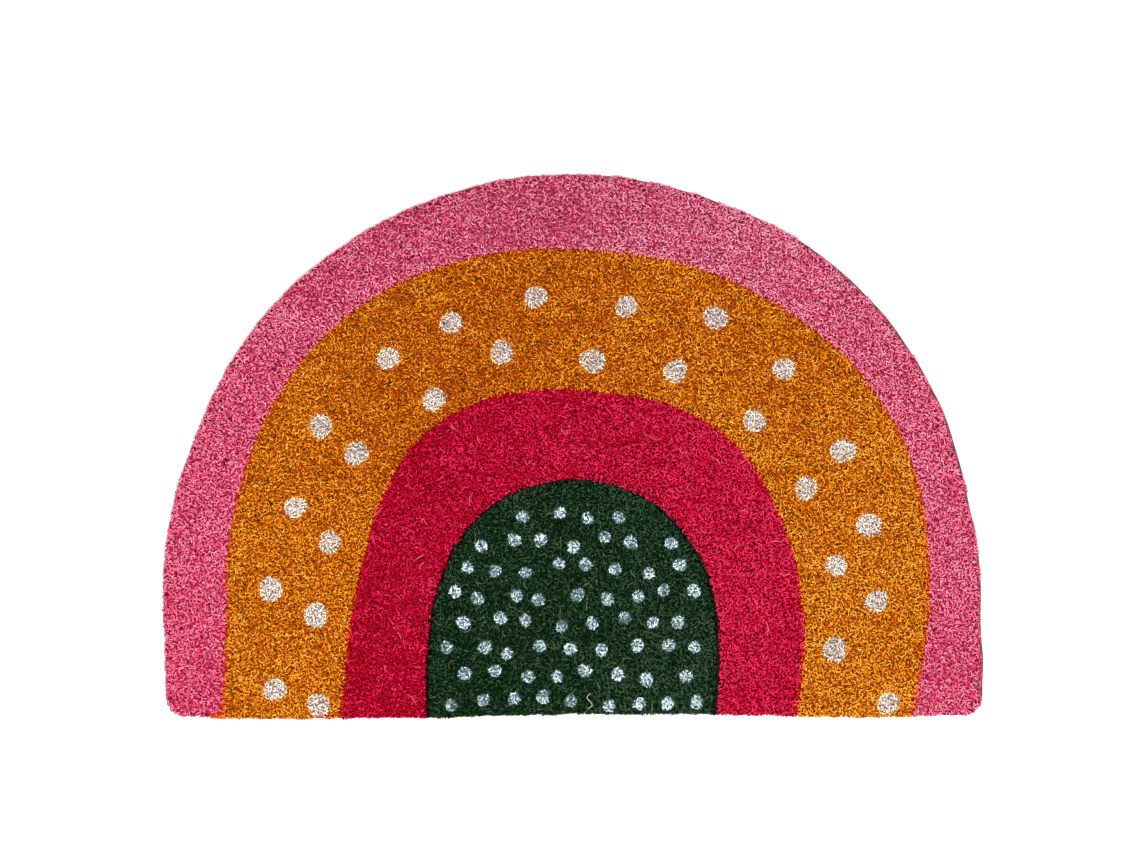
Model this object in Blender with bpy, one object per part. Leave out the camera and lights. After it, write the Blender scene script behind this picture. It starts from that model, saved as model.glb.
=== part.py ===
"""Half-round coir doormat: a short, dense brush of coir standing in a dark vinyl backing sheet.

Metres, +Z up. X runs along the straight edge, Y from that edge to the top of the arch, and the mat lies
on z = 0. The origin is the middle of the cut outline's box, on the floor.
Run it with: blender --background --python part.py
"""

import math
from collections import namedtuple

import bmesh
import bpy
import numpy as np

# The mat as cut
WIDTH = 0.750
DEPTH = 0.497
THICKNESS = 0.015
SIDE_HEIGHT = 0.106  # the straight run of each side, below the arch
ARCH_FULLNESS = 2.05  # 2 is an ellipse, and more is a squarer arch
CORNER_RADIUS = 0.016

# The layers
BACKING_THICKNESS = 0.0025
BACKING_EDGE_ROUND = 0.0004
LAYER_GAP = 0.0003
BRUSH_LEAN = (-0.0011, -0.0006)  # how far the fibre tips lean, so that the backing peeps out opposite

# The tufts along the rim of the brush
TUFT_PITCH = 0.0080
POINTS_A_TUFT = 2
TUFT_BUMP = 0.0007
BUMP_CHANGE = 0.5  # how much of a bump is new from one section to the next
SEED = 7

BACKING_POINT_SPACING = 0.009
DRIFT_SMOOTHING = 0.006  # as a share of the way round
# Between those the cut wavers at random, by up to WOBBLE, in waves of about twice WOBBLE_PITCH.
WOBBLE = 0.0006
WOBBLE_PITCH = 0.020
WOBBLE_SEED = 3

# How far the hand-trimmed edge strays outwards from the plain outline. share is the way round, from the
# middle of the straight edge towards +X and on over the arch.
Drift = namedtuple("Drift", "share out")
EDGE_DRIFT = (
    Drift(0.000, -0.0014),
    Drift(0.050, -0.0014),
    Drift(0.120, 0.0014),
    Drift(0.165, -0.0008),
    Drift(0.190, 0.0004),
    Drift(0.210, -0.0021),
    Drift(0.235, -0.0020),
    Drift(0.265, -0.0042),
    Drift(0.300, -0.0007),
    Drift(0.355, 0.0007),
    Drift(0.410, -0.0010),
    Drift(0.425, -0.0033),
    Drift(0.450, -0.0032),
    Drift(0.480, -0.0012),
    Drift(0.500, -0.0018),
    Drift(0.520, -0.0005),
    Drift(0.575, -0.0023),
    Drift(0.610, -0.0014),
    Drift(0.655, -0.0006),
    Drift(0.715, -0.0019),
    Drift(0.755, 0.0015),
    Drift(0.790, -0.0003),
    Drift(0.820, -0.0024),
    Drift(0.850, 0.0023),
    Drift(0.890, 0.0029),
    Drift(0.950, 0.0015),
    Drift(0.975, -0.0004),
)

# The brush from its foot to its crown: it splays a little, and the cut tips round over.
Section = namedtuple("Section", "height inset bump")
BRUSH_SECTIONS = (
    Section(BACKING_THICKNESS + LAYER_GAP, 0.0022, 0.3),
    Section(0.0060, 0.0016, 0.6),
    Section(0.0105, 0.0003, 1.0),
    Section(0.0134, 0.0003, 1.0),
    Section(0.0146, 0.0012, 0.8),
    Section(THICKNESS, 0.0030, 0.4),
)

Material = namedtuple("Material", "name colour roughness")
BRUSH_MATERIAL = Material("printed_coir", (0.72, 0.33, 0.03), 0.9)
BACKING_MATERIAL = Material("dark_vinyl", (0.03, 0.03, 0.032), 0.6)


def clear_scene():
    for obj in list(bpy.data.objects):
        bpy.data.objects.remove(obj)


def make_collection(name):
    collection = bpy.data.collections.new(name)
    bpy.context.scene.collection.children.link(collection)
    return collection


def make_material(look):
    material = bpy.data.materials.new(look.name)
    material.use_nodes = True
    shader = material.node_tree.nodes["Principled BSDF"]
    shader.inputs["Base Color"].default_value = (*look.colour, 1.0)
    shader.inputs["Roughness"].default_value = look.roughness
    shader.inputs["Metallic"].default_value = 0.0
    return material


def right_half_outline():
    """The plain outline from the straight edge's middle to the top of the arch; y = 0 at that edge."""
    half = WIDTH / 2
    rise = DEPTH - SIDE_HEIGHT
    corner_steps, arch_steps = 12, 160
    points = [(0.0, 0.0)]
    for i in range(corner_steps + 1):
        turn = math.radians(-90 + 90 * i / corner_steps)
        x = half - CORNER_RADIUS + CORNER_RADIUS * math.cos(turn)
        y = CORNER_RADIUS + CORNER_RADIUS * math.sin(turn)
        points.append((x, y))
    for i in range(arch_steps + 1):
        turn = math.radians(90 * i / arch_steps)
        x = half * max(math.cos(turn), 0.0) ** (2 / ARCH_FULLNESS)
        y = SIDE_HEIGHT + rise * math.sin(turn) ** (2 / ARCH_FULLNESS)
        points.append((x, y))
    return np.array(points)


def plain_outline():
    """The whole outline, anticlockwise seen from above."""
    right = right_half_outline()
    left = right[::-1][1:-1] * (-1, 1)
    return np.vstack([right, left])


def evenly_spaced(points, count):
    """count points at equal steps round a closed outline, starting at its first point."""
    closed = np.vstack([points, points[:1]])
    along = np.concatenate([[0], np.cumsum(np.linalg.norm(np.diff(closed, axis=0), axis=1))])
    at = np.linspace(0, along[-1], count, endpoint=False)
    return np.stack([np.interp(at, along, closed[:, axis]) for axis in range(2)], axis=1)


def perimeter(points):
    return np.linalg.norm(np.roll(points, -1, axis=0) - points, axis=1).sum()


def outward(points):
    """The unit direction out of an anticlockwise outline at each of its points."""
    along = np.roll(points, -1, axis=0) - np.roll(points, 1, axis=0)
    along /= np.linalg.norm(along, axis=1)[:, None]
    return np.stack([along[:, 1], -along[:, 0]], axis=1)


def edge_drift(count):
    """How far the edge strays outwards at count even steps round the mat: smoothed drift, and wobble."""
    shares = np.arange(count) / count
    drift = np.interp(shares, [d.share for d in EDGE_DRIFT], [d.out for d in EDGE_DRIFT], period=1)
    reach = max(1, round(DRIFT_SMOOTHING * count))
    smooth = sum(np.roll(drift, shift) for shift in range(-reach, reach + 1)) / (2 * reach + 1)
    knots = round(perimeter(plain_outline()) / WOBBLE_PITCH)
    wobble = np.random.default_rng(WOBBLE_SEED).uniform(-WOBBLE, WOBBLE, knots)
    return smooth + np.interp(shares, np.arange(knots) / knots, wobble, period=1)


def cut_outline(count):
    """The outline as the mat was really cut, its box centred on the origin."""
    points = evenly_spaced(plain_outline(), count)
    points = points + outward(points) * edge_drift(count)[:, None]
    middle = (points.min(axis=0) + points.max(axis=0)) / 2
    return points - middle


def tuft_bumps(tufts):
    """For each brush section, how far each rim point stands out: bumps that pass from tuft to tuft."""
    random = np.random.default_rng(SEED)
    bumps = random.uniform(-1, 1, tufts * POINTS_A_TUFT)
    found = []
    for section in BRUSH_SECTIONS:
        fresh = random.uniform(-1, 1, tufts * POINTS_A_TUFT)
        bumps = (1 - BUMP_CHANGE) * bumps + BUMP_CHANGE * fresh
        found.append(TUFT_BUMP * section.bump * bumps)
    return found


def brush_ring(outline, section, bumps):
    """The rim points of one section of the brush, in three dimensions."""
    lean = np.array(BRUSH_LEAN) * section.height / THICKNESS
    flat = outline + outward(outline) * (bumps - section.inset)[:, None] + lean
    return np.column_stack([flat, np.full(len(flat), section.height)])


def make_brush(collection):
    """The coir brush: a loft through BRUSH_SECTIONS, closed flat below and above."""
    tufts = round(perimeter(plain_outline()) / TUFT_PITCH)
    outline = cut_outline(tufts * POINTS_A_TUFT)
    mesh_maker = bmesh.new()
    rings = []
    for section, bumps in zip(BRUSH_SECTIONS, tuft_bumps(tufts)):
        ring = brush_ring(outline, section, bumps)
        rings.append([mesh_maker.verts.new(point) for point in ring])
    for lower, upper in zip(rings, rings[1:]):
        for i in range(len(lower)):
            j = (i + 1) % len(lower)
            mesh_maker.faces.new((lower[i], lower[j], upper[j], upper[i]))
    mesh_maker.faces.new(reversed(rings[0]))
    mesh_maker.faces.new(rings[-1])
    mesh = bpy.data.meshes.new("coir_brush")
    mesh_maker.to_mesh(mesh)
    mesh_maker.free()
    mesh.shade_smooth()
    mesh.set_sharp_from_angle(angle=math.radians(40))
    mesh.materials.append(make_material(BRUSH_MATERIAL))
    collection.objects.link(bpy.data.objects.new("coir_brush", mesh))


def make_backing(collection):
    """The vinyl sheet that the coir stands in: the cut outline, extruded, with softened edges."""
    count = round(perimeter(plain_outline()) / BACKING_POINT_SPACING)
    outline = cut_outline(count)
    curve = bpy.data.curves.new("vinyl_backing", "CURVE")
    curve.dimensions = "2D"
    curve.fill_mode = "BOTH"
    curve.extrude = BACKING_THICKNESS / 2 - BACKING_EDGE_ROUND
    curve.bevel_depth = BACKING_EDGE_ROUND
    curve.bevel_resolution = 0
    curve.offset = -BACKING_EDGE_ROUND
    spline = curve.splines.new("POLY")
    spline.points.add(count - 1)
    for point, (x, y) in zip(spline.points, outline):
        point.co = (x, y, 0.0, 1.0)
    spline.use_cyclic_u = True
    curve.materials.append(make_material(BACKING_MATERIAL))
    backing = bpy.data.objects.new("vinyl_backing", curve)
    backing.location.z = BACKING_THICKNESS / 2
    collection.objects.link(backing)


def main():
    clear_scene()
    doormat = make_collection("coir_doormat")
    make_backing(doormat)
    make_brush(doormat)


main()
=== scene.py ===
"""The looks of the half-round coir doormat: its printed strands, the pile they stand in, and its backing.

Metres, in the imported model's frame: X along the straight edge, Y from that edge to the top of the arch,
Z up. The mat is a dense brush of cut coir fibre. Arches of plain colour and two sizes of dot are printed
on its crown, so that a fibre has its print's colour at the tip and the brown of bare coir lower down.
"""

import math
from collections import namedtuple

import bpy
import numpy as np
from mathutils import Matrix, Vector, geometry


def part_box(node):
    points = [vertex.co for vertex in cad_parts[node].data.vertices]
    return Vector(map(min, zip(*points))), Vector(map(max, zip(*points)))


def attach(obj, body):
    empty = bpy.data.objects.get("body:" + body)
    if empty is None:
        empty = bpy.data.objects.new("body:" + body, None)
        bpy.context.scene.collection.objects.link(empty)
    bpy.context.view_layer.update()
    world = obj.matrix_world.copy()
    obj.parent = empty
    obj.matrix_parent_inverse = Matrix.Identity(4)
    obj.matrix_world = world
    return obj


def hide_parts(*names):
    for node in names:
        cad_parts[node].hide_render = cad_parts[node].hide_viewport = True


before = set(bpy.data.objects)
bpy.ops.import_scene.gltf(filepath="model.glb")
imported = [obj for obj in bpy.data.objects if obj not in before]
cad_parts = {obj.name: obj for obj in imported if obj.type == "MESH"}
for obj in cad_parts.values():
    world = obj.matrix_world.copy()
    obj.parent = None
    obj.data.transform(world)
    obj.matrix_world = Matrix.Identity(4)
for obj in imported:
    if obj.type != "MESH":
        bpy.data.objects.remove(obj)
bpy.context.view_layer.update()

SEED = 20
NOISE_STREAM = 900
NOISE_CELLS = 97  # after so many features the noise repeats

# Heights in the brush, from the frame
BRUSH_LOW, BRUSH_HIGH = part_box("coir_brush")
CROWN = BRUSH_HIGH.z
FOOT = BRUSH_LOW.z
STRAIGHT_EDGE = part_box("vinyl_backing")[0].y

# The print: arches, each printed over the one before. A fullness of 2 is an ellipse, and more is squarer.
# Towards the straight edge, the left and the right side move sideways by foot. drift is how far the
# printed edge strays outwards, at even angles from the arch's right foot to its left. Where two inks meet
# there is an edge of mixed ink. It spreads to foot_width at the straight edge, and narrows towards the top
# by EDGE_NARROWING of its width.
Arch = namedtuple(
    "Arch", "ink middle half_width height side_height fullness foot drift edge_ink edge_width foot_width"
)
OCHRE_DRIFT = (0.0002, -0.0009, 0.0034, -0.0038, -0.0029, 0.0033, 0.0025, -0.0010, -0.0015, 0.0013)
CRIMSON_DRIFT = (-0.0008, 0.0012, -0.0007, 0.0010, -0.0035, -0.0005, 0.0058, -0.0030, -0.0004, 0.0003)
GREEN_DRIFT = (0.0000, 0.0000, 0.0002, 0.0000, -0.0005, 0.0006, -0.0002, -0.0002, 0.0004, -0.0005)
ARCHES = (
    Arch(
        ink="ochre", middle=0.0031, half_width=0.3226, height=0.4292, side_height=0.1050, fullness=2.22,
        foot=(-0.0015, -0.0170), drift=OCHRE_DRIFT,
        edge_ink="orange_edge", edge_width=0.0022, foot_width=0.0046,
    ),
    Arch(
        ink="crimson", middle=0.0031, half_width=0.2088, height=0.3033, side_height=0.0450, fullness=2.35,
        foot=(-0.0079, -0.0072), drift=CRIMSON_DRIFT,
        edge_ink="red_edge", edge_width=0.0019, foot_width=0.0034,
    ),
    Arch(
        ink="green", middle=0.0004, half_width=0.1334, height=0.2184, side_height=0.0543, fullness=2.19,
        foot=(-0.0026, -0.0050), drift=GREEN_DRIFT,
        edge_ink="black_edge", edge_width=0.0034, foot_width=0.0036,
    ),
)
OUTER_INK = "pink"
PRINT_WANDER = 0.0011  # how far a printed edge wavers besides
WANDER_SIZE = 0.035
EDGE_FUZZ = 0.0008  # how far it wavers from fibre to fibre
FUZZ_SIZE = 0.003
FOOT_REACH = 0.100  # below this height the sides move sideways
FOOT_BEND = 1.5  # 1 moves them along a straight slope, and more leaves most of it to the last stretch
EDGE_SPREAD = 0.055  # below this height the mixed edge spreads
EDGE_RIGHT = 0.40  # the mixed edge is wider by this share at the mat's right, and narrower at its left
EDGE_NARROWING = 0.65
EDGE_INSIDE = 0.7  # the share of an edge's width that lies inside the arch

# How bright a strand's print is, from 0 to 1: less with the strand's depth in the pile, partly because
# less ink reaches down and partly as painted shade, and different at random, in patches of some sizes and
# in streaks that run level. Patches have a size, the most that they add, and a random stream of their own.
TONE_HIGHEST = 0.66
TONE_FALL = 0.35
TONE_SPREAD = 0.27
TONE_RANGE = (0.02, 0.98)
Patches = namedtuple("Patches", "size amount stream")
TONE_PATCHES = (
    Patches(0.0030, 0.13, 21),
    Patches(0.0060, 0.09, 22),
    Patches(0.0180, 0.09, 23),
    Patches(0.0500, 0.06, 24),
)
STREAKS = Patches(0.007, 0.07, 27)
STREAK_THINNESS = 0.12  # a streak's width, as a share of its length
# Each band's brightness also drifts round the arch: painted light and shade, darker over the top of the
# outer bands and brighter at the right of the inner ones than at their left.
# Part of the outer band is painted in a paler, cooler pink, most over the top and the right: painted cool
# light.
# Both are given at even angles from the mat's right to its left.
BAND_LIGHT_AND_SHADE = {
    "pink": (0.02, -0.02, 0.05, 0.04, -0.19, -0.14, 0.02, 0.00, -0.04),
    "ochre": (0.12, 0.10, -0.01, -0.10, -0.18, -0.23, -0.09, -0.05, -0.06),
    "crimson": (0.09, 0.18, 0.19, 0.10, 0.00, -0.12, -0.13, -0.18, -0.20),
    "green": (0.07, 0.06, 0.04, 0.02, 0.00, -0.02, -0.04, -0.06, -0.07),
}
# How much of the outer band, at even angles from right to left, is painted in the paler, cooler pink:
# painted cool light, most over the top and the right.
COOL_LIGHT_SHARE = (0.32, 0.40, 0.50, 0.80, 0.80, 0.62, 0.43, 0.30, 0.00)
COOL_LIGHT_PATCH = 0.0012
OVERPRINT = 0.17  # how much brighter the outer band is where it was printed twice, along the ochre arch
OVERPRINT_REACH = 0.007

# Small stains of stray ink, on the outer band at the right and at the left feet of two arches. x and y are
# millimetres right of the mat's middle and up from the straight edge. lift is how much brighter than usual
# the ink is there.
Mark = namedtuple("Mark", "x y radius ink lift")
MARKS = (
    Mark(348.0, 44.5, 3.3, "salmon_stain", 0.05),
    Mark(330.5, 12.0, 3.0, "salmon_stain", 0.00),
    Mark(368.5, 33.0, 3.0, "grey_stain", -0.05),
    Mark(-329.0, 2.0, 4.0, "orange_edge", 0.10),
    Mark(-322.0, 3.0, 4.8, "orange_edge", 0.05),
    Mark(-232.0, 1.0, 2.8, "orange_edge", 0.05),
    Mark(-225.0, 1.5, 3.2, "orange_edge", 0.05),
    Mark(-217.0, 2.0, 4.0, "orange_edge", 0.00),
)

# Dots along the ochre band. share is how far out a row lies, from the band's inner edge to its outer edge.
# start is where its first dot lies, in steps of ROW_PITCH.
DotRow = namedtuple("DotRow", "share start")
DOT_ROWS = (
    DotRow(0.25, 0.75),
    DotRow(0.62, 0.25),
)
ROW_PITCH = 0.080
ROW_DOT_RADIUS = 0.0103
ROW_JITTER = 0.0085
# Dots in staggered rows over the green dome
DOME_PITCH = 0.0282
DOME_DOT_RADIUS = 0.0058
DOME_JITTER = 0.0048
DOME_MARGIN = 0.0120
DOME_FOOT = 0.0155  # the height of the lowest row over the straight edge
# Both sizes of dot
DOT_SIZE_SPREAD = 0.08
DOT_WOBBLE = 0.07
DOT_REACH = 1.3  # no dot's uneven edge lies further out than this many of its radii
DOT_SHADE = 0.16  # how much brighter or darker than the rest a dot may be
DOT_PATCHES = Patches(0.0042, 0.24, 29)  # brighter and darker ones within a dot
DOT_EDGE_INKS = {"warm_white": "cream_edge"}  # the ink of a dot's edge, where it mixes with the band's
DOT_EDGE_WIDTH = 0.0011

# An ink's colours run from its dark strands to its bright ones, in linear light.
Ink = namedtuple("Ink", "name dark middle bright")
INKS = (
    Ink("pink", (0.405, 0.014, 0.056), (0.645, 0.082, 0.171), (0.757, 0.184, 0.290)),
    # The second pink is the first as it looks under cooler light: painted light, used over the top and the
    # right of the outer band.
    Ink("cool_lit_pink", (0.380, 0.038, 0.084), (0.600, 0.139, 0.228), (0.725, 0.272, 0.365)),
    Ink("ochre", (0.295, 0.041, 0.000), (0.552, 0.161, 0.001), (0.700, 0.318, 0.033)),
    Ink("crimson", (0.268, 0.000, 0.005), (0.434, 0.002, 0.033), (0.602, 0.025, 0.083)),
    Ink("green", (0.001, 0.010, 0.002), (0.008, 0.027, 0.010), (0.036, 0.068, 0.036)),
    Ink("warm_white", (0.400, 0.300, 0.262), (0.640, 0.525, 0.468), (0.715, 0.640, 0.585)),
    Ink("cool_white", (0.055, 0.100, 0.108), (0.325, 0.450, 0.465), (0.660, 0.770, 0.780)),
    Ink("cream_edge", (0.560, 0.370, 0.190), (0.860, 0.635, 0.385), (0.930, 0.760, 0.540)),
    Ink("orange_edge", (0.300, 0.016, 0.003), (0.600, 0.070, 0.010), (0.780, 0.190, 0.042)),
    Ink("red_edge", (0.240, 0.003, 0.002), (0.480, 0.021, 0.006), (0.720, 0.088, 0.028)),
    Ink("black_edge", (0.001, 0.002, 0.001), (0.004, 0.005, 0.003), (0.028, 0.016, 0.014)),
    Ink("salmon_stain", (0.340, 0.025, 0.040), (0.610, 0.096, 0.108), (0.780, 0.225, 0.240)),
    Ink("grey_stain", (0.190, 0.030, 0.050), (0.390, 0.115, 0.155), (0.550, 0.230, 0.285)),
    Ink("red_shade", (0.030, 0.001, 0.005), (0.085, 0.004, 0.014), (0.170, 0.012, 0.034)),
    Ink("brown_shade", (0.024, 0.008, 0.001), (0.070, 0.022, 0.002), (0.160, 0.052, 0.004)),
    Ink("straw", (0.045, 0.055, 0.030), (0.125, 0.142, 0.082), (0.560, 0.545, 0.390)),
)
INK_NUMBER = {ink.name: number for number, ink in enumerate(INKS)}
BARE_COIR = ((0.060, 0.028, 0.010), (0.155, 0.084, 0.034), (0.280, 0.175, 0.080))
BARE_UP_TO = 0.45  # how far up a fibre is bare, as a share of it
PRINTED_FROM = 0.62
BARE_SPREAD = 0.07  # how much that height differs from fibre to fibre
FIBRE_GLOSS = 0.03

# Pits, where the pile is open down to its shade, and partings: level lines along which it lies lower
PIT_COUNT = 850
PIT_RADIUS = (0.0007, 0.0015)
PIT_SHADES = {
    "pink": "red_shade",
    "cool_lit_pink": "red_shade",
    "crimson": "red_shade",
    "ochre": "brown_shade",
}
PARTING_COUNT = 34
PARTING_LENGTH = (0.020, 0.080)
PARTING_SLOPE = 0.05
PARTING_WIDTH = 0.0011
PARTING_DEPTH = 0.0013
PARTING_SHADE = 0.45

# How far the crown stands back from the cut edge. It is most uneven where the fibres lean away from the
# edge, and the dark backing peeps out from under them.
BACK_RIGHT = 0.0006
BACK_TOP = -0.0003
BACK_UNEVEN = 0.0008
BACK_UNEVEN_MORE = 0.0016
BACK_PATCH = 0.008
BACK_FINER = 0.4  # how strong the patches of a third of that size are beside them
MOST_OVER = 0.0005  # how far it may reach past both the cut edge and its own even line
CROWN_EDGE_STEP = 0.0015

# Strands. A sort has its spacing, the range of its lengths and radii, how much it turns, how steeply its
# root rises in degrees, how deep below the crown its top may lie, and the number of points along it.
Sort = namedtuple("Sort", "spacing length radius turn rise deepest points")
CURLED = Sort(
    spacing=0.00400, length=(0.0030, 0.0052), radius=(0.00058, 0.00084), turn=1.4, rise=(25, 60),
    deepest=0.0020, points=3,
)
SHORT = Sort(
    spacing=0.00237, length=(0.0020, 0.0038), radius=(0.00058, 0.00082), turn=0.0, rise=(4, 45),
    deepest=0.0026, points=2,
)
STRAY = Sort(
    spacing=0.0220, length=(0.0060, 0.0130), radius=(0.00022, 0.00032), turn=2.0, rise=(5, 20),
    deepest=0.0006, points=6,
)
MOST_TURN = 2.4  # how much a strand may turn over its length, in radians
TIP_RISE = (-15, 15)  # how steeply the tip of a bent strand rises, in degrees
DEPTH_SPREAD = (1.2, 2.0)  # the shape of the beta spread of depths, by which more tops lie high than deep
CROWN_FROM = 0.66  # a strand of the crown is the top of a fibre, from this share of it up
CROWN_MARGIN = 0.0004  # how far inside the crown's edge the middles of its strands lie at least
STRAY_MARGIN = 0.004
STRAY_TONE = (0.45, 0.98)
PALE_SHARE = 0.30  # of the strays on the green and the crimson; the rest are printed like their band
Pale = namedtuple("Pale", "under ink tone")
PALE_STRAYS = (
    Pale("green", "straw", (0.25, 0.65)),
    Pale("crimson", "salmon_stain", (0.62, 0.95)),
)
BRUSH_LEAN = (-0.0011, -0.0006)  # how far the tips lean, as in the solid brush
RIM_FUZZ = (0.0000, 0.0014)  # how far inside the crown's edge a strand of the crown stays
TIP_WIDTH = 0.75  # a strand's width at its tip, as a share of that at its root
MOST_IN_A_PIECE = 195_000
CORNER_SPREAD = 0.012  # how much tone and place along a strand differ between its corners
PALETTE_MARGINS = (0.06, 0.02)  # how far a colour stays from its column's sides, and from its ends

# The strands that stand round the rim: where their roots, points and tips lie, and how bright they are
RIM_SPACING = 0.00055
RIM_INSET = 0.0022
RIM_ROOTS = (-0.0010, 0.0008)
RIM_TIPS = (0.0004, 0.0004)  # the mean and the spread of how far the tips stay inside the crown's edge
RIM_ASIDE = 0.0010
RIM_TOPS = (-0.0004, 0.0022)  # how deep below the crown they end
RIM_SHARES = (0.0, 0.45, 0.82, 1.0)  # how far up their points lie
RIM_BEND = 0.8  # below 1, a strand leans more near its root than near its tip
RIM_KINKS = 0.00025
RIM_RADIUS = (0.00042, 0.00060)
RIM_LOWEST = 0.02  # how far up a fibre the lowest point shows
RIM_TONE = (0.5, 0.2)  # the mean and the spread

# The pale fibre that lies near the middle of the straight edge: millimetres to the right of the mat's
# middle, and up from the lowest place on that edge
LOOSE_FIBRE = (
    (15.2, 23.2),
    (12.8, 21.5),
    (12.1, 19.9),
    (13.0, 18.0),
    (15.3, 16.1),
    (17.0, 13.8),
    (16.5, 11.7),
    (14.4, 10.2),
    (12.1, 8.9),
)
LOOSE_FIBRE_RADIUS = 0.00036
LOOSE_FIBRE_LIFT = 0.0006  # how high over the crown its middle lies
LOOSE_FIBRE_DROOP = 0.0016  # how much lower its ends lie
LOOSE_FIBRE_TONE = 0.97
CORNER_CUTS = 2  # how many times its corners are cut, to round its bends

# The pile that shows between the strands, as a closed solid just below their tops
BED_SPACING = 0.0048
BED_DEPTH = 0.0026
BED_ROUGHNESS = 0.0008
BED_SWELLS = Patches(0.012, 0.0005, 11)
BED_INSET = 0.0014
BED_EDGE_DROP = 0.0010  # how much lower than the rest its edge lies
BED_MARGIN = 0.7  # how far its inner points stay from its edge, as a share of their spacing
BED_SHOULDER = 0.6  # how far up the brush its shoulder leans
BED_SHOULDER_DEPTH = 0.0060
BED_BARE_DEPTH = 0.0035  # from here down it turns to bare coir
BED_BARE_FADE = 0.003
BED_BLEED = 0.0022  # how far around itself a point of the bed looks for darker ink
BED_LOOKS = 8  # in how many directions
BED_MIX = (0.10, 0.55)  # the shares of an ink's middle and dark colours in the bed's colour
DOT_BED_MIX = (0.24, 0.30)  # the same shares inside a dot
Ring = namedtuple("Ring", "reach count")
DOT_RINGS = (Ring(0.0, 1), Ring(0.45, 6), Ring(0.85, 12), Ring(1.22, 14))  # the bed's points round a dot
DOT_CLEARANCE = 0.15  # how far its other points stay outside those, in radii of the dot

# The camera, set for the photo's frame: how wide that is at the mat, and where its middle falls
FRAME_WIDTH = 1.0427
FRAME_MIDDLE = (-0.0034, 0.0174)
CAMERA_HEIGHT = 4.5
SENSOR_WIDTH = 36.0

# The studio
FLOOR_REACH = 6.0
FLOOR_GAP = 0.0002
SKY_STRENGTH = 0.74


def random_for(*stream):
    """A random source of its own for each use, the same in every run."""
    return np.random.default_rng([SEED, *stream])


def smooth_noise(points, size, stream):
    """Smooth noise from -1 to 1 at flat points, with features of about size, different for each stream."""
    lattice = random_for(NOISE_STREAM, stream).uniform(-1, 1, (NOISE_CELLS, NOISE_CELLS))
    place = points[:, :2] / size + NOISE_CELLS // 2
    low = np.floor(place).astype(int)
    part = place - low
    part = part * part * (3 - 2 * part)
    x, y = low.T % NOISE_CELLS
    right, up = (x + 1) % NOISE_CELLS, (y + 1) % NOISE_CELLS
    near = lattice[x, y] * (1 - part[:, 0]) + lattice[right, y] * part[:, 0]
    far = lattice[x, up] * (1 - part[:, 0]) + lattice[right, up] * part[:, 0]
    return near * (1 - part[:, 1]) + far * part[:, 1]


def patchy(points, patches):
    """How much a set of patches adds at flat points."""
    return patches.amount * smooth_noise(points, patches.size, patches.stream)


def unit(vectors):
    return vectors / np.linalg.norm(vectors, axis=-1, keepdims=True)


def mesh_points(obj):
    points = np.empty(len(obj.data.vertices) * 3, np.float32)
    obj.data.vertices.foreach_get("co", points)
    return points.reshape(-1, 3).astype(float)


def cut_outline():
    """The mat's cut edge, anticlockwise, as the frame's backing has it where it is widest."""
    points = mesh_points(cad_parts["vinyl_backing"]).round(6)
    heights = points[:, 2].round(4)
    widest = max(np.unique(heights), key=lambda height: np.ptp(points[heights == height, 0]))
    ring = np.unique(points[heights == widest, :2], axis=0)
    return ring[np.argsort(np.arctan2(ring[:, 1], ring[:, 0]))]


def resampled(outline, spacing):
    """Points at even steps round a closed outline."""
    closed = np.vstack([outline, outline[:1]])
    along = np.concatenate([[0], np.cumsum(np.linalg.norm(np.diff(closed, axis=0), axis=1))])
    at = np.linspace(0, along[-1], round(along[-1] / spacing), endpoint=False)
    return np.stack([np.interp(at, along, closed[:, axis]) for axis in range(2)], axis=1)


def outward(outline):
    """The unit direction out of an anticlockwise outline at each of its points."""
    along = np.roll(outline, -2, axis=0) - np.roll(outline, 2, axis=0)
    along /= np.linalg.norm(along, axis=1)[:, None]
    return np.stack([along[:, 1], -along[:, 0]], axis=1)


def rim_depth(points, outline):
    """How far inside the outline each point lies, along the line to the middle of the mat."""
    closed = np.vstack([outline, outline[:1]])
    turn = np.unwrap(np.arctan2(closed[:, 1], closed[:, 0]))
    reach = np.linalg.norm(closed, axis=1)
    angle = (np.arctan2(points[:, 1], points[:, 0]) - turn[0]) % (2 * np.pi) + turn[0]
    return np.interp(angle, turn, reach) - np.linalg.norm(points[:, :2], axis=1)


def stand_back(points, out):
    """How far the crown stands back from the cut edge at points on it, given the directions out of it."""
    right, up = np.clip(out, 0, 1).T
    back = BACK_RIGHT * right**4 + BACK_TOP * up
    uneven = smooth_noise(points, BACK_PATCH, 41) + BACK_FINER * smooth_noise(points, BACK_PATCH / 3, 42)
    bared = np.clip(-out @ unit(np.array(BRUSH_LEAN)), 0, 1)
    back += (BACK_UNEVEN + BACK_UNEVEN_MORE * bared) * uneven
    return np.maximum(back, np.minimum(out @ BRUSH_LEAN, 0) - MOST_OVER)


def brush_edge(edge, share, inset):
    """The brush's edge at a share of its height, moved in by inset, for even points on the cut edge."""
    out = outward(edge)
    back = stand_back(edge, out) * share
    return edge + np.array(BRUSH_LEAN) * share - out * (inset + back)[:, None]


OUTLINE = cut_outline()
CROWN_EDGE = brush_edge(resampled(OUTLINE, CROWN_EDGE_STEP), 1.0, 0.0)


def near_foot(points, reach):
    """How near each flat point is to the straight edge: 1 on it, and 0 from reach up."""
    return 1 - np.clip((points[:, 1] - STRAIGHT_EDGE) / reach, 0, 1)


def round_the_arch(points, values):
    """The value at each flat point, of values that lie at even angles from the mat's right to its left."""
    turn = np.arctan2(np.maximum(points[:, 1] - STRAIGHT_EDGE, 0), points[:, 0])
    return np.interp(turn, np.linspace(0, np.pi, len(values)), values)


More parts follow.
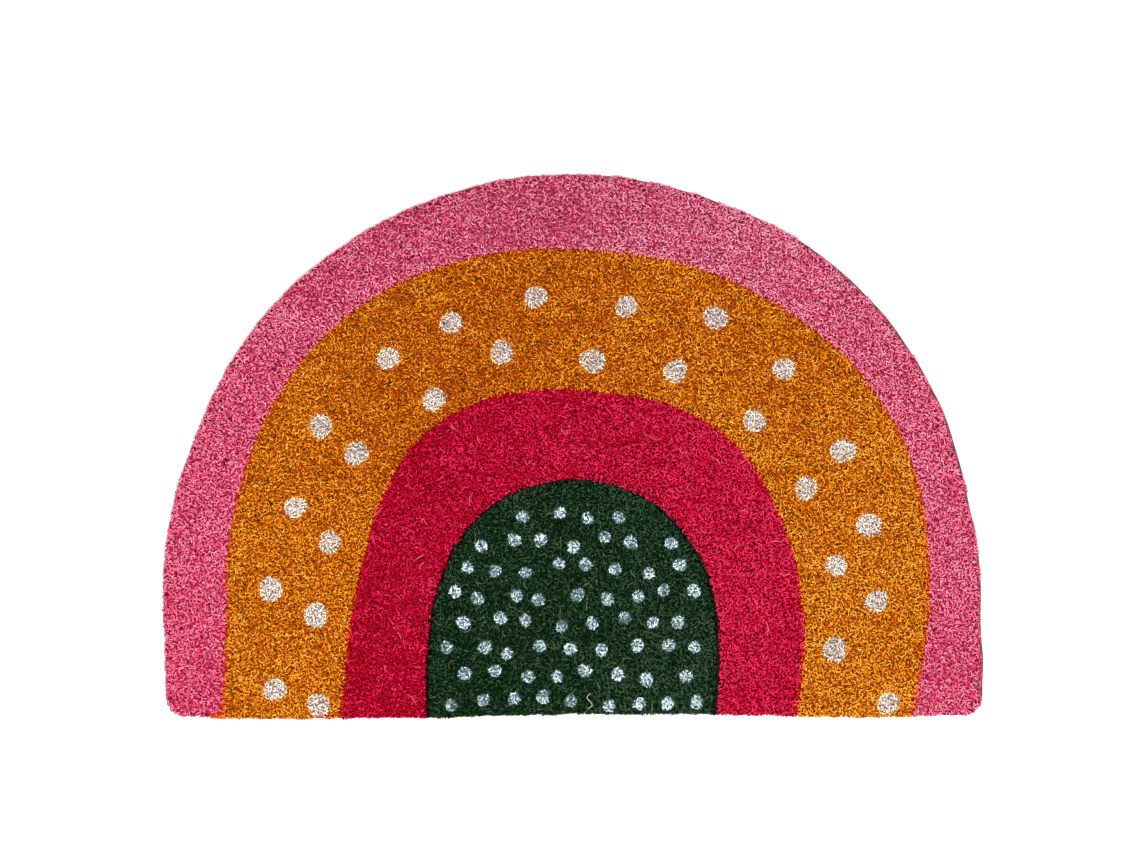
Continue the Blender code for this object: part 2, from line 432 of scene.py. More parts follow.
def out_of_arch(arch, points):
    """How far each flat point lies outside a printed arch: below 0 is inside."""
    height = points[:, 1] - STRAIGHT_EDGE
    across = points[:, 0] - arch.middle
    left, right = arch.foot
    across = across - np.where(across < 0, left, right) * near_foot(points, FOOT_REACH) ** FOOT_BEND
    up = np.maximum(height - arch.side_height, 0)
    rise = arch.height - arch.side_height
    size = (np.abs(across) / arch.half_width) ** arch.fullness + (up / rise) ** arch.fullness
    size = np.maximum(size ** (1 / arch.fullness), 1e-6)
    turn = np.arctan2(np.maximum(height, 0), points[:, 0] - arch.middle)
    drift = np.interp(turn, np.linspace(0, np.pi, len(arch.drift)), arch.drift)
    return np.hypot(across, up) * (1 - 1 / size) - drift


def arch_line(arch, spacing, start):
    """Points at even steps from an arch's right foot to its left. The first is start steps along."""
    turn = np.linspace(0, np.pi, 181)
    power = 2 / arch.fullness
    x = arch.half_width * np.sign(np.cos(turn)) * np.abs(np.cos(turn)) ** power
    y = arch.side_height + (arch.height - arch.side_height) * np.sin(turn) ** power
    line = np.vstack([(arch.half_width, 0.0), np.column_stack([x, y]), (-arch.half_width, 0.0)])
    along = np.concatenate([[0], np.cumsum(np.linalg.norm(np.diff(line, axis=0), axis=1))])
    at = np.arange(start * spacing, along[-1], spacing)
    points = np.stack([np.interp(at, along, line[:, axis]) for axis in range(2)], axis=1)
    return points + (arch.middle, STRAIGHT_EDGE)


def band_dots():
    """The middles of the larger dots, in staggered rows along the ochre band."""
    outer, inner = ARCHES[0], ARCHES[1]
    rows = []
    for row in DOT_ROWS:
        between = {
            name: getattr(inner, name) * (1 - row.share) + getattr(outer, name) * row.share
            for name in ("middle", "half_width", "height", "side_height", "fullness")
        }
        rows.append(arch_line(outer._replace(**between), ROW_PITCH, row.start))
    return np.vstack(rows)


def dome_dots():
    """The middles of the smaller dots, in staggered rows over the dome."""
    dome = ARCHES[2]
    rise = DOME_PITCH * math.sqrt(3) / 2
    found = []
    for row in range(math.ceil(dome.height / rise)):
        y = STRAIGHT_EDGE + DOME_FOOT + row * rise
        shift = DOME_PITCH / 2 * (row % 2)
        across = math.ceil(dome.half_width / DOME_PITCH)
        found += [(column * DOME_PITCH + shift, y) for column in range(-across, across + 1)]
    found = np.array(found)
    inside = out_of_arch(dome, found) < -DOME_MARGIN
    return found[inside]


def place_pits():
    """The middle and the radius of each pit."""
    random = random_for(8)
    middles = random.uniform(OUTLINE.min(axis=0), OUTLINE.max(axis=0), (PIT_COUNT, 2))
    return list(zip(middles, random.uniform(*PIT_RADIUS, PIT_COUNT)))


PITS = place_pits()
Dot = namedtuple("Dot", "middle radius ink phase lift")


def place_dots():
    """Every dot, set a little off its place in the rows and of its own size, and the small marks."""
    random = random_for(1)
    dots = []
    for middles, radius, jitter, ink in (
        (band_dots(), ROW_DOT_RADIUS, ROW_JITTER, "warm_white"),
        (dome_dots(), DOME_DOT_RADIUS, DOME_JITTER, "cool_white"),
    ):
        for middle in middles:
            moved = middle + random.uniform(-jitter, jitter, 2)
            size = radius * (1 + random.uniform(-DOT_SIZE_SPREAD, DOT_SIZE_SPREAD))
            lift = random.uniform(-DOT_SHADE, DOT_SHADE)
            dots.append(Dot(moved, size, ink, random.uniform(0, 2 * np.pi, 2), lift))
    for mark in MARKS:
        middle = np.array([mark.x / 1000, mark.y / 1000 + STRAIGHT_EDGE])
        dots.append(Dot(middle, mark.radius / 1000, mark.ink, (0.0, 0.0), mark.lift))
    return dots


DOTS = place_dots()


def band_inks(points):
    """The number of the ink of the band at each flat point, without the dots."""
    found = np.full(len(points), INK_NUMBER[OUTER_INK])
    low = near_foot(points, EDGE_SPREAD)
    height = points[:, 1] - STRAIGHT_EDGE
    right = points[:, 0] / OUTLINE[:, 0].max()
    for number, arch in enumerate(ARCHES):
        out = out_of_arch(arch, points)
        out = out + PRINT_WANDER * smooth_noise(points, WANDER_SIZE, number)
        out = out + EDGE_FUZZ * smooth_noise(points, FUZZ_SIZE, 10 + number)
        found[out < 0] = INK_NUMBER[arch.ink]
        narrow = 1 - EDGE_NARROWING * (height / arch.height).clip(0, 1) ** 2
        width = arch.edge_width * narrow * (1 - low) + arch.foot_width * low
        width = width * (1 + EDGE_RIGHT * right)
        found[(out > -EDGE_INSIDE * width) & (out < (1 - EDGE_INSIDE) * width)] = INK_NUMBER[arch.edge_ink]
    # Patches of the outer band, most over the top and the right, take the paler, cooler pink: painted cool
    # light.
    cool_lit = 0.5 + 0.5 * smooth_noise(points, COOL_LIGHT_PATCH, 31) < round_the_arch(points, COOL_LIGHT_SHARE)
    found[cool_lit & (found == INK_NUMBER["pink"])] = INK_NUMBER["cool_lit_pink"]
    return found


def add_dots(found, points):
    """The ink numbers found at flat points, with those of the dots and the small marks put in."""
    for dot in DOTS:
        offset = points[:, :2] - dot.middle
        reach = np.hypot(*offset.T)
        near = np.flatnonzero(reach < dot.radius * DOT_REACH)
        turn = np.arctan2(offset[near, 1], offset[near, 0])
        wobble = np.sin(2 * turn + dot.phase[0]) + 0.7 * np.sin(3 * turn + dot.phase[1])
        depth = dot.radius * (1 + DOT_WOBBLE * wobble) - reach[near]
        found[near[depth > 0]] = INK_NUMBER[dot.ink]
        if dot.ink in DOT_EDGE_INKS:
            edge = (depth > 0) & (depth < DOT_EDGE_WIDTH)
            found[near[edge]] = INK_NUMBER[DOT_EDGE_INKS[dot.ink]]
    return found


def inks_at(points):
    """The number of the ink at each flat point, with the dots, the marks and the shade of the pits."""
    found = add_dots(band_inks(points), points)
    in_pit = np.zeros(len(points), bool)
    for middle, radius in PITS:
        in_pit |= np.hypot(*(points[:, :2] - middle).T) < radius
    plain = found.copy()
    for ink, shade in PIT_SHADES.items():
        found[in_pit & (plain == INK_NUMBER[ink])] = INK_NUMBER[shade]
    return found


Parting = namedtuple("Parting", "x y length slope")


def place_partings():
    """The partings, at random places over the mat."""
    random = random_for(6)
    places = random.uniform(OUTLINE.min(axis=0), OUTLINE.max(axis=0), (PARTING_COUNT, 2))
    lengths = random.uniform(*PARTING_LENGTH, PARTING_COUNT)
    slopes = random.normal(0, PARTING_SLOPE, PARTING_COUNT)
    return [Parting(*place, length, slope) for place, length, slope in zip(places, lengths, slopes)]


PARTINGS = place_partings()


def parted(points):
    """How open the pile is at each flat point: 1 in the middle of a parting, and 0 away from them."""
    found = np.zeros(len(points))
    for parting in PARTINGS:
        across = points[:, 0] - parting.x
        off = points[:, 1] - parting.y - parting.slope * across
        middle = np.clip(1 - (2 * across / parting.length) ** 2, 0, 1)
        found = np.maximum(found, middle * np.exp(-((off / PARTING_WIDTH) ** 2)))
    return found


def ramp(nodes, stops):
    """A colour ramp node with evenly spaced stops."""
    node = nodes.new("ShaderNodeValToRGB")
    elements = node.color_ramp.elements
    while len(elements) < len(stops):
        elements.new(0.5)
    for number, (element, colour) in enumerate(zip(elements, stops)):
        element.position = number / (len(stops) - 1)
        element.color = (*colour, 1.0)
    return node


def attribute(nodes, name):
    node = nodes.new("ShaderNodeAttribute")
    node.attribute_name = name
    return node


def new_material(name):
    material = bpy.data.materials.new(name)
    material.use_nodes = True
    nodes, links = material.node_tree.nodes, material.node_tree.links
    return material, nodes, links, nodes["Principled BSDF"]


def ink_material(ink):
    """Printed fibre: the ink's own colours by the strand's tone, and bare coir towards its root."""
    material, nodes, links, shader = new_material("coir_" + ink.name)
    tone = attribute(nodes, "tone")
    along = attribute(nodes, "along")
    printed = ramp(nodes, (ink.dark, ink.middle, ink.bright))
    links.new(tone.outputs["Fac"], printed.inputs["Fac"])
    cover = nodes.new("ShaderNodeMapRange")
    cover.interpolation_type = "SMOOTHSTEP"
    cover.inputs["From Min"].default_value = BARE_UP_TO
    cover.inputs["From Max"].default_value = PRINTED_FROM
    links.new(along.outputs["Fac"], cover.inputs["Value"])
    colour = nodes.new("ShaderNodeMix")
    colour.data_type = "RGBA"
    bare = ramp(nodes, BARE_COIR)
    links.new(tone.outputs["Fac"], bare.inputs["Fac"])
    links.new(bare.outputs["Color"], colour.inputs["A"])
    links.new(cover.outputs["Result"], colour.inputs["Factor"])
    links.new(printed.outputs["Color"], colour.inputs["B"])
    links.new(colour.outputs["Result"], shader.inputs["Base Color"])
    dullness = nodes.new("ShaderNodeMapRange")
    dullness.inputs["To Min"].default_value = 0.90
    dullness.inputs["To Max"].default_value = 0.62
    links.new(tone.outputs["Fac"], dullness.inputs["Value"])
    links.new(dullness.outputs["Result"], shader.inputs["Roughness"])
    shader.inputs["Specular IOR Level"].default_value = FIBRE_GLOSS
    return material


def bed_material():
    """The pile between the strands: its printed colour, broken up into lighter fibre ends and painted
    shade in the gaps between them.
    """
    material, nodes, links, shader = new_material("pile_bed")
    place = nodes.new("ShaderNodeTexCoord")
    paint = attribute(nodes, "paint")
    fibres = nodes.new("ShaderNodeTexNoise")
    fibres.inputs["Scale"].default_value = 620.0
    fibres.inputs["Detail"].default_value = 3.0
    fibres.inputs["Distortion"].default_value = 1.2
    links.new(place.outputs["Object"], fibres.inputs["Vector"])
    # Scales the colour from near black to a little above it: painted shade in the gaps, and lighter fibre
    # ends.
    ends_and_gap_shade = nodes.new("ShaderNodeMapRange")
    ends_and_gap_shade.inputs["From Min"].default_value = 0.36
    ends_and_gap_shade.inputs["From Max"].default_value = 0.64
    ends_and_gap_shade.inputs["To Min"].default_value = 0.04
    ends_and_gap_shade.inputs["To Max"].default_value = 1.30
    links.new(fibres.outputs["Fac"], ends_and_gap_shade.inputs["Value"])
    colour = nodes.new("ShaderNodeVectorMath")
    colour.operation = "SCALE"
    links.new(paint.outputs["Color"], colour.inputs[0])
    links.new(ends_and_gap_shade.outputs["Result"], colour.inputs["Scale"])
    links.new(colour.outputs["Vector"], shader.inputs["Base Color"])
    bump = nodes.new("ShaderNodeBump")
    bump.inputs["Strength"].default_value = 0.8
    bump.inputs["Distance"].default_value = 0.0012
    links.new(fibres.outputs["Fac"], bump.inputs["Height"])
    links.new(bump.outputs["Normal"], shader.inputs["Normal"])
    shader.inputs["Roughness"].default_value = 0.92
    shader.inputs["Specular IOR Level"].default_value = FIBRE_GLOSS
    return material


def backing_material():
    """Dark vinyl: a dull, faintly pebbled sheet with soft clouds of dust over it."""
    material, nodes, links, shader = new_material("backing_vinyl")
    place = nodes.new("ShaderNodeTexCoord")
    pebbles = nodes.new("ShaderNodeTexVoronoi")
    pebbles.feature = "SMOOTH_F1"
    pebbles.inputs["Scale"].default_value = 420.0
    links.new(place.outputs["Object"], pebbles.inputs["Vector"])
    clouds = nodes.new("ShaderNodeTexNoise")
    clouds.inputs["Scale"].default_value = 30.0
    clouds.inputs["Detail"].default_value = 4.0
    links.new(place.outputs["Object"], clouds.inputs["Vector"])
    colour = ramp(nodes, ((0.012, 0.012, 0.013), (0.028, 0.028, 0.030), (0.060, 0.058, 0.056)))
    links.new(clouds.outputs["Fac"], colour.inputs["Fac"])
    links.new(colour.outputs["Color"], shader.inputs["Base Color"])
    dullness = nodes.new("ShaderNodeMapRange")
    dullness.inputs["To Min"].default_value = 0.45
    dullness.inputs["To Max"].default_value = 0.75
    links.new(clouds.outputs["Fac"], dullness.inputs["Value"])
    links.new(dullness.outputs["Result"], shader.inputs["Roughness"])
    bump = nodes.new("ShaderNodeBump")
    bump.inputs["Strength"].default_value = 0.35
    bump.inputs["Distance"].default_value = 0.0004
    links.new(pebbles.outputs["Distance"], bump.inputs["Height"])
    links.new(bump.outputs["Normal"], shader.inputs["Normal"])
    return material


INK_MATERIALS = [ink_material(ink) for ink in INKS]


def staggered(spacing, low, high, random):
    """Flat points over a box in staggered rows, each moved at random within its own cell."""
    rise = spacing * math.sqrt(3) / 2
    rows = np.arange(low[1], high[1] + rise, rise)
    columns = np.arange(low[0], high[0] + spacing, spacing)
    x, y = np.meshgrid(columns, rows)
    x = x + (np.arange(len(rows)) % 2)[:, None] * spacing / 2
    points = np.column_stack([x.ravel(), y.ravel()])
    return points + random.uniform(-0.5, 0.5, points.shape) * spacing


def top_points(spacing, margin, random):
    """Staggered points over the mat, at least margin inside the crown's edge."""
    points = staggered(spacing, OUTLINE.min(axis=0), OUTLINE.max(axis=0), random)
    return points[rim_depth(points, CROWN_EDGE) > margin]


def dot_rings():
    """Points of the bed in rings round each dot, close inside its edge and close outside it."""
    rings = []
    for dot in DOTS:
        for ring in DOT_RINGS:
            turn = np.linspace(0, 2 * np.pi, ring.count, endpoint=False)
            directions = np.column_stack([np.cos(turn), np.sin(turn)])
            rings.append(dot.middle + ring.reach * dot.radius * directions)
    rings = np.vstack(rings)
    return rings[rim_depth(rings, CROWN_EDGE) > BED_INSET * 2]


def near_dot(points, reach):
    """Whether each flat point lies within reach dot radii of a dot's middle."""
    found = np.zeros(len(points), bool)
    for dot in DOTS:
        found |= np.hypot(*(points[:, :2] - dot.middle).T) < reach * dot.radius
    return found


def ink_mix(numbers, shares):
    """The colours of the numbered inks, mixed from shares of their middle and their dark colour."""
    middles = np.array([ink.middle for ink in INKS])
    darks = np.array([ink.dark for ink in INKS])
    return shares[0] * middles[numbers] + shares[1] * darks[numbers]


def bed_shade(points):
    """The bed's colour at each point: the darkest of those close around it, so that none bleeds out."""
    around = []
    for turn in np.linspace(0, 2 * np.pi, BED_LOOKS, endpoint=False):
        aside = BED_BLEED * np.array([math.cos(turn), math.sin(turn)])
        around.append(ink_mix(band_inks(points[:, :2] + aside), BED_MIX))
    found = np.min(around, axis=0)
    plain = band_inks(points)
    dotted = add_dots(plain.copy(), points)
    dots = dotted != plain
    found[dots] = ink_mix(dotted[dots], DOT_BED_MIX)
    return found


def bed_top(ring, random):
    """The bed's top, seen from above: its points, first those on the ring round it, and its triangles."""
    inner = top_points(BED_SPACING, BED_INSET + BED_SPACING * BED_MARGIN, random)
    apart = ~near_dot(inner, DOT_RINGS[-1].reach + DOT_CLEARANCE)
    flat = np.vstack([brush_edge(ring, 1.0, BED_INSET), inner[apart], dot_rings()])
    edges = [(i, (i + 1) % len(ring)) for i in range(len(ring))]
    inside_only = 1
    vertices, _, faces, *_ = geometry.delaunay_2d_cdt(
        [Vector(point) for point in flat], edges, [], inside_only, 1e-7
    )
    return np.array(vertices), [tuple(face) for face in faces]


def bed_sides(count, first_shoulder, first_foot):
    """The faces round the bed, which has count points round its top, and the one under it."""
    sides = []
    for upper, lower in ((0, first_shoulder), (first_shoulder, first_foot)):
        for i in range(count):
            j = (i + 1) % count
            sides.append((lower + i, lower + j, upper + j, upper + i))
    return sides + [tuple(first_foot + i for i in reversed(range(count)))]


def paint_bed(mesh, points):
    """Gives the bed its colours, as a point attribute: the print's above, and bare coir's lower down."""
    shade = bed_shade(points)
    low = np.clip((CROWN - BED_BARE_DEPTH - points[:, 2]) / BED_BARE_FADE, 0, 1)[:, None]
    shade = shade * (1 - low) + np.array(BARE_COIR[0]) * low
    paint = np.column_stack([shade, np.ones(len(shade))]).astype(np.float32)
    mesh.color_attributes.new("paint", "FLOAT_COLOR", "POINT").data.foreach_set("color", paint.ravel())


def make_bed():
    """The pile as one closed, lumpy solid just below the strands' tops."""
    random = random_for(2)
    ring = resampled(OUTLINE, BED_SPACING)
    count = len(ring)
    flat, faces = bed_top(ring, random)
    lift = BED_ROUGHNESS * random.uniform(-1, 1, len(flat)) + patchy(flat, BED_SWELLS)
    lift[:count] = -BED_EDGE_DROP
    top = np.column_stack([flat, CROWN - BED_DEPTH + lift])
    shoulder_edge = brush_edge(ring, BED_SHOULDER, BED_INSET)
    shoulder = np.column_stack([shoulder_edge, np.full(count, CROWN - BED_SHOULDER_DEPTH)])
    foot = np.column_stack([brush_edge(ring, 0.0, RIM_INSET), np.full(count, FOOT)])
    points = np.vstack([top, shoulder, foot])
    faces += bed_sides(count, len(top), len(top) + count)
    mesh = bpy.data.meshes.new("pile_bed")
    mesh.from_pydata(points.tolist(), [], faces)
    mesh.shade_smooth()
    paint_bed(mesh, points)
    mesh.materials.append(bed_material())
    bed = bpy.data.objects.new("pile_bed", mesh)
    bpy.context.scene.collection.objects.link(bed)
    return bed


def curl_paths(middles, sort, random):
    """Centre lines of strands that rise out of the pile and bend over, and how deep their tops lie."""
    count, segments = len(middles), sort.points - 1
    length = random.uniform(*sort.length, count)
    heading = random.uniform(0, 2 * np.pi, count)
    turn = random.normal(0, sort.turn, count).clip(-MOST_TURN, MOST_TURN)
    steep = np.radians(random.uniform(*sort.rise, count))
    level = np.radians(random.uniform(*TIP_RISE, count)) if segments > 1 else steep
    share = (np.arange(segments) + 0.5)[None, :] / segments
    headings = heading[:, None] + turn[:, None] * (share - 0.5)
    pitches = steep[:, None] * (1 - share) + level[:, None] * share
    leaps = (length / segments)[:, None, None] * np.stack(
        [np.cos(pitches) * np.cos(headings), np.cos(pitches) * np.sin(headings), np.sin(pitches)], axis=2
    )
    paths = np.concatenate([np.zeros((count, 1, 3)), np.cumsum(leaps, axis=1)], axis=1)
    paths[:, :, :2] -= paths[:, :, :2].mean(axis=1, keepdims=True)
    paths[:, :, :2] += middles[:, None, :]
    depth = sort.deepest * random.beta(*DEPTH_SPREAD, count)
    paths[:, :, 2] += (CROWN - depth - paths[:, :, 2].max(axis=1))[:, None]
    return paths, depth / sort.deepest


def kept_inside(paths, random):
    """The paths, with those that would reach out past the crown's edge moved in."""
    depth = rim_depth(paths.reshape(-1, 3), CROWN_EDGE).reshape(paths.shape[:2]).min(axis=1)
    excess = np.maximum(random.uniform(*RIM_FUZZ, len(paths)) - depth, 0)
    inward = -unit(paths[:, :, :2].mean(axis=1))
    moved = paths.copy()
    moved[:, :, :2] += (inward * excess[:, None])[:, None, :]
    return moved


def rim_paths(random):
    """Centre lines of the strands that stand along the rim, from the backing to just over the crown."""
    edge = resampled(OUTLINE, RIM_SPACING)
    out = outward(edge)
    count = len(edge)
    feet = brush_edge(edge, 0.0, RIM_INSET + random.uniform(*RIM_ROOTS, count))
    tips = brush_edge(edge, 1.0, random.normal(*RIM_TIPS, count))
    tips += np.column_stack([-out[:, 1], out[:, 0]]) * random.normal(0, RIM_ASIDE, count)[:, None]
    top = CROWN - random.uniform(*RIM_TOPS, count)
    paths = np.empty((count, len(RIM_SHARES), 3))
    for number, share in enumerate(RIM_SHARES):
        flat = feet + (tips - feet) * share**RIM_BEND
        paths[:, number] = np.column_stack([flat, FOOT + (top - FOOT) * share])
    paths[:, 1:-1] += random.normal(0, RIM_KINKS, (count, len(RIM_SHARES) - 2, 3))
    return paths


def strand_arrays(paths, radii, alongs, tones, random):
    """Points, triangles and attributes of three-sided strands with cut ends, along their centre lines."""
    count, rings = paths.shape[:2]
    tangents = unit(np.gradient(paths, axis=1))
    aside = np.cross(paths[:, -1] - paths[:, 0], random.normal(size=(count, 3)))
    first = unit(np.cross(tangents, aside[:, None, :]))
    second = np.cross(tangents, first)
    widths = np.linspace(1.0, TIP_WIDTH, rings) * radii[:, None]
    corners = []
    for corner in range(3):
        turn = 2 * np.pi * corner / 3
        corners.append(paths + widths[:, :, None] * (first * math.cos(turn) + second * math.sin(turn)))
    points = np.stack(corners, axis=2).reshape(-1, 3)
    tip = 3 * (rings - 1)
    faces = [(0, 2, 1), (tip, tip + 1, tip + 2)]
    for low in range(0, tip, 3):
        for corner in range(3):
            after = (corner + 1) % 3
            faces.append((low + corner, low + after, low + after + 3))
            faces.append((low + corner, low + after + 3, low + corner + 3))
    starts = np.arange(count)[:, None, None] * 3 * rings
    triangles = (np.array(faces)[None] + starts).reshape(-1, 3)
    along = np.repeat(alongs, 3, axis=1) - np.tile([0, 1, 0], rings) * CORNER_SPREAD
    tone = tones[:, None] + np.tile([-1, 0, 1], rings) * CORNER_SPREAD
    return points, triangles, along.ravel(), tone.clip(0, 1).ravel()


def strand_piece(name, paths, radii, alongs, tones, inks=None):
    """One mesh of many strands. inks is each strand's ink; without it a face has the ink printed there."""
    points, triangles, along, tone = strand_arrays(paths, radii, alongs, tones, random_for(3, len(paths)))
    mesh = bpy.data.meshes.new(name)
    mesh.vertices.add(len(points))
    mesh.vertices.foreach_set("co", points.astype(np.float32).ravel())
    mesh.loops.add(triangles.size)
    mesh.loops.foreach_set("vertex_index", triangles.astype(np.int32).ravel())
    mesh.polygons.add(len(triangles))
    mesh.polygons.foreach_set("loop_start", np.arange(0, triangles.size, 3, dtype=np.int32))
    if inks is None:
        numbers = inks_at(points[triangles].mean(axis=1))
    else:
        numbers = np.repeat(inks, len(triangles) // len(paths))
    used = np.unique(numbers)
    for number in used:
        mesh.materials.append(INK_MATERIALS[number])
    mesh.polygons.foreach_set("material_index", np.searchsorted(used, numbers).astype(np.int32))
    for label, values in (("tone", tone), ("along", along)):
        mesh.attributes.new(label, "FLOAT", "POINT").data.foreach_set("value", values.astype(np.float32))
    lay_palette(mesh, triangles, numbers, along, tone)
    mesh.update()
    mesh.validate()
    mesh.shade_smooth()
    piece = bpy.data.objects.new(name, mesh)
    bpy.context.scene.collection.objects.link(piece)
    return piece


def lay_palette(mesh, triangles, numbers, along, tone):
    """A UV map on which equal colours share a place: a column an ink, tones across, root to tip up."""
    side, end = PALETTE_MARGINS
    u = (numbers[:, None] + side + (1 - 2 * side) * tone[triangles]) / len(INKS)
    v = end + (1 - 2 * end) * along[triangles]
    layer = mesh.uv_layers.new(name="OFBake", do_init=False)
    layer.uv.foreach_set("vector", np.stack([u, v], axis=2).astype(np.float32).ravel())


def tones_for(middles, depth, random):
    """How bright each strand is: by its height, partly as painted shade, and at random, with painted light
    and shade round the arch, streaks and partings.
    """
    tone = TONE_HIGHEST - TONE_FALL * depth + random.normal(0, TONE_SPREAD, len(middles))
    for patches in TONE_PATCHES:
        tone += patchy(middles, patches)
    tone += patchy(middles * (STREAK_THINNESS, 1.0), STREAKS) + drift(middles)
    tone += overprint(middles) - PARTING_SHADE * parted(middles)
    dot_patches = patchy(middles, DOT_PATCHES)
    for dot in DOTS:
        inside = np.hypot(*(middles - dot.middle).T) < dot.radius
        tone[inside] += dot.lift + dot_patches[inside]
    return tone.clip(*TONE_RANGE)


def drift(points):
    """The painted light and shade round the arch, in each band: how much brighter or darker its strands
    are painted there.
    """
    found = round_the_arch(points, BAND_LIGHT_AND_SHADE[OUTER_INK])
    for arch in ARCHES:
        inside = out_of_arch(arch, points) < 0
        found[inside] = round_the_arch(points[inside], BAND_LIGHT_AND_SHADE[arch.ink])
    return found


def overprint(points):
    """How much brighter the outer band is where it was printed twice, close along the ochre arch."""
    arch = ARCHES[0]
    out = out_of_arch(arch, points)
    up = np.clip((points[:, 1] - STRAIGHT_EDGE) / arch.height, 0, 1)
    return np.where(out > 0, OVERPRINT * up * np.exp(-((out / OVERPRINT_REACH) ** 2)), 0)


def split(name, count, per_strand):
    """Even groups of strands, left to right, that keep each piece within its triangle limit."""
    pieces = math.ceil(count * per_strand / MOST_IN_A_PIECE)
    labels = [name] if pieces == 1 else [f"{name}_{number + 1}" for number in range(pieces)]
    return zip(labels, np.array_split(np.arange(count), pieces))


def make_crown(sort, label, stream):
    """The strands of one sort over the whole mat, a piece or more for each printed band."""
    random = random_for(4, stream)
    middles = top_points(sort.spacing, CROWN_MARGIN, random)
    paths, depth = curl_paths(middles, sort, random)
    paths = kept_inside(paths, random)
    paths[:, :, 2] -= PARTING_DEPTH * parted(middles)[:, None]
    tones = tones_for(middles, depth, random)
    radii = random.uniform(*sort.radius, len(middles))
    alongs = np.repeat(np.linspace(CROWN_FROM, 1.0, sort.points)[None, :], len(middles), axis=0)
    band = np.zeros(len(middles), int)
    for number, arch in enumerate(ARCHES):
        band[out_of_arch(arch, middles) < 0] = number + 1
    per_strand = 6 * (sort.points - 1) + 2  # the triangles of its sides and of its two ends
    made = []
    for number, ink in enumerate((OUTER_INK, *(arch.ink for arch in ARCHES))):
        chosen = np.flatnonzero(band == number)
        chosen = chosen[np.argsort(middles[chosen, 0])]
        for name, group in split(f"{label}_{ink}", len(chosen), per_strand):
            at = chosen[group]
            made.append(strand_piece(name, paths[at], radii[at], alongs[at], tones[at]))
    return made


def make_rim():
    """The strands round the rim, bare brown below and printed at the tip."""
    random = random_for(5)
    paths = rim_paths(random)
    count = len(paths)
    radii = random.uniform(*RIM_RADIUS, count)
    shown = RIM_LOWEST + (1 - RIM_LOWEST) * np.array([RIM_SHARES])
    alongs = shown + random.uniform(-BARE_SPREAD, BARE_SPREAD, (count, 1))
    tones = random.normal(*RIM_TONE, count)
    return strand_piece(
        "rim_strands", paths, radii, alongs.clip(RIM_LOWEST, 1.0), tones.clip(*TONE_RANGE)
    )


def make_strays():
    """Thin longer fibres that lie loosely over the crown, some of them paler than their band."""
    random = random_for(7)
    middles = top_points(STRAY.spacing, STRAY_MARGIN, random)
    paths, _ = curl_paths(middles, STRAY, random)
    paths = kept_inside(paths, random)
    count = len(middles)
    radii = random.uniform(*STRAY.radius, count)
    tones = random.uniform(*STRAY_TONE, count)
    printed = band_inks(middles)
    inks = printed.copy()
    faded = random.uniform(0, 1, count) < PALE_SHARE
    for pale in PALE_STRAYS:
        chosen = faded & (printed == INK_NUMBER[pale.under])
        inks[chosen] = INK_NUMBER[pale.ink]
        tones[chosen] = random.uniform(*pale.tone, chosen.sum())
    alongs = np.repeat(np.linspace(CROWN_FROM, 1.0, STRAY.points)[None, :], count, axis=0)
    return strand_piece("stray_fibres", paths, radii, alongs, tones, inks)


def smoothed(path):
    """The path with its corners cut, so that it bends evenly."""
    for _ in range(CORNER_CUTS):
        low, high = path[:-1], path[1:]
        cut = np.stack([0.75 * low + 0.25 * high, 0.25 * low + 0.75 * high], axis=1)
        path = np.vstack([path[:1], cut.reshape(-1, 3), path[-1:]])
    return path


def make_loose_fibre():
    """The one pale fibre that lies on the crown, its ends lower than its middle."""
    flat = np.array(LOOSE_FIBRE) / 1000 + (0.0, STRAIGHT_EDGE)
    share = np.linspace(-1, 1, len(flat))
    height = CROWN + LOOSE_FIBRE_LIFT - LOOSE_FIBRE_DROOP * share**4
    paths = smoothed(np.column_stack([flat, height]))[None]
    alongs = np.linspace(CROWN_FROM, 1.0, paths.shape[1])[None]
    straw = np.array([INK_NUMBER["straw"]])
    radii, tones = np.array([LOOSE_FIBRE_RADIUS]), np.array([LOOSE_FIBRE_TONE])
    return strand_piece("loose_fibre", paths, radii, alongs, tones, straw)


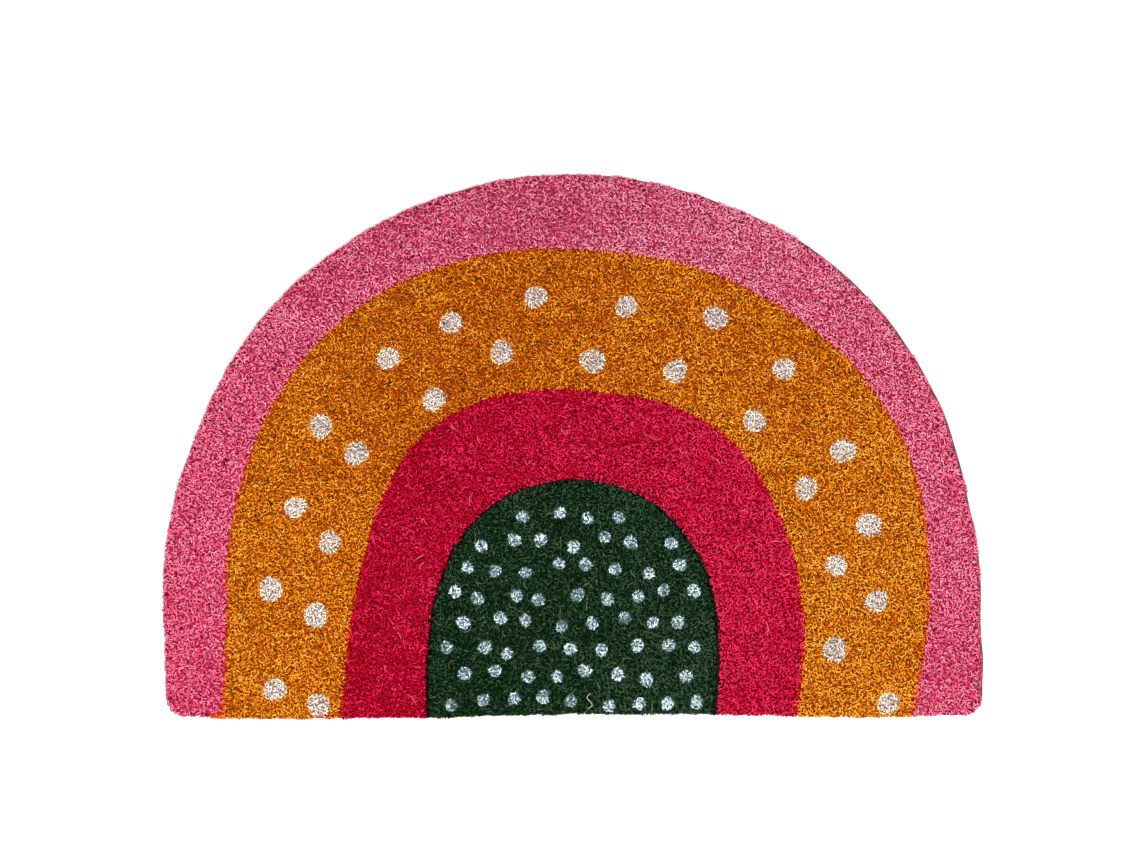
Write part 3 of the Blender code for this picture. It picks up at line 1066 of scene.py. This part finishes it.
def make_floor():
    """A wide, plain, pale floor just below the mat."""
    mesh = bpy.data.meshes.new("floor")
    corners = [(FLOOR_REACH * x, FLOOR_REACH * y, 0) for x, y in ((-1, -1), (1, -1), (1, 1), (-1, 1))]
    mesh.from_pydata(corners, [], [(0, 1, 2, 3)])
    material, nodes, links, shader = new_material("pale_floor")
    clouds = nodes.new("ShaderNodeTexNoise")
    clouds.inputs["Scale"].default_value = 3.0
    place = nodes.new("ShaderNodeTexCoord")
    links.new(place.outputs["Object"], clouds.inputs["Vector"])
    colour = ramp(nodes, ((0.955, 0.955, 0.955), (0.965, 0.965, 0.965)))
    links.new(clouds.outputs["Fac"], colour.inputs["Fac"])
    links.new(colour.outputs["Color"], shader.inputs["Base Color"])
    shader.inputs["Roughness"].default_value = 0.9
    mesh.materials.append(material)
    floor = bpy.data.objects.new("floor", mesh)
    floor.location.z = -FLOOR_GAP
    bpy.context.scene.collection.objects.link(floor)


def area_light(name, place, size, power):
    """A round, soft light that points at the middle of the mat."""
    light = bpy.data.lights.new(name, "AREA")
    light.shape = "DISK"
    light.size = size
    light.energy = power
    lamp = bpy.data.objects.new(name, light)
    lamp.location = place
    lamp.rotation_euler = (-lamp.location).to_track_quat("-Z", "Y").to_euler()
    bpy.context.scene.collection.objects.link(lamp)


def make_light():
    """Soft white light from all round, with two large lamps over the mat."""
    world = bpy.data.worlds.new("studio")
    world.use_nodes = True
    world.node_tree.nodes["Background"].inputs["Color"].default_value = (1.0, 1.0, 1.0, 1.0)
    world.node_tree.nodes["Background"].inputs["Strength"].default_value = SKY_STRENGTH
    bpy.context.scene.world = world
    area_light("key", place=(-0.40, -1.25, 1.8), size=1.4, power=66.0)
    area_light("overhead", place=(0.2, 0.15, 2.6), size=2.2, power=62.0)
    bpy.context.scene.view_settings.view_transform = "Standard"


def make_camera():
    """The camera, straight above the mat like the photo's."""
    data = bpy.data.cameras.new("camera")
    data.sensor_width = SENSOR_WIDTH
    data.lens = data.sensor_width * (CAMERA_HEIGHT - CROWN) / FRAME_WIDTH
    camera = bpy.data.objects.new("camera", data)
    camera.location = (*FRAME_MIDDLE, CAMERA_HEIGHT)
    bpy.context.scene.collection.objects.link(camera)
    bpy.context.scene.camera = camera


make_camera()
make_light()
make_floor()

bed = make_bed()
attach(bed, "root")
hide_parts("coir_brush")

strands = make_crown(CURLED, "curls", 1) + make_crown(SHORT, "stubs", 2)
strands += [make_rim(), make_strays(), make_loose_fibre()]
for piece in strands:
    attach(piece, "root")

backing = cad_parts["vinyl_backing"]
backing.data.materials.clear()
backing.data.materials.append(backing_material())
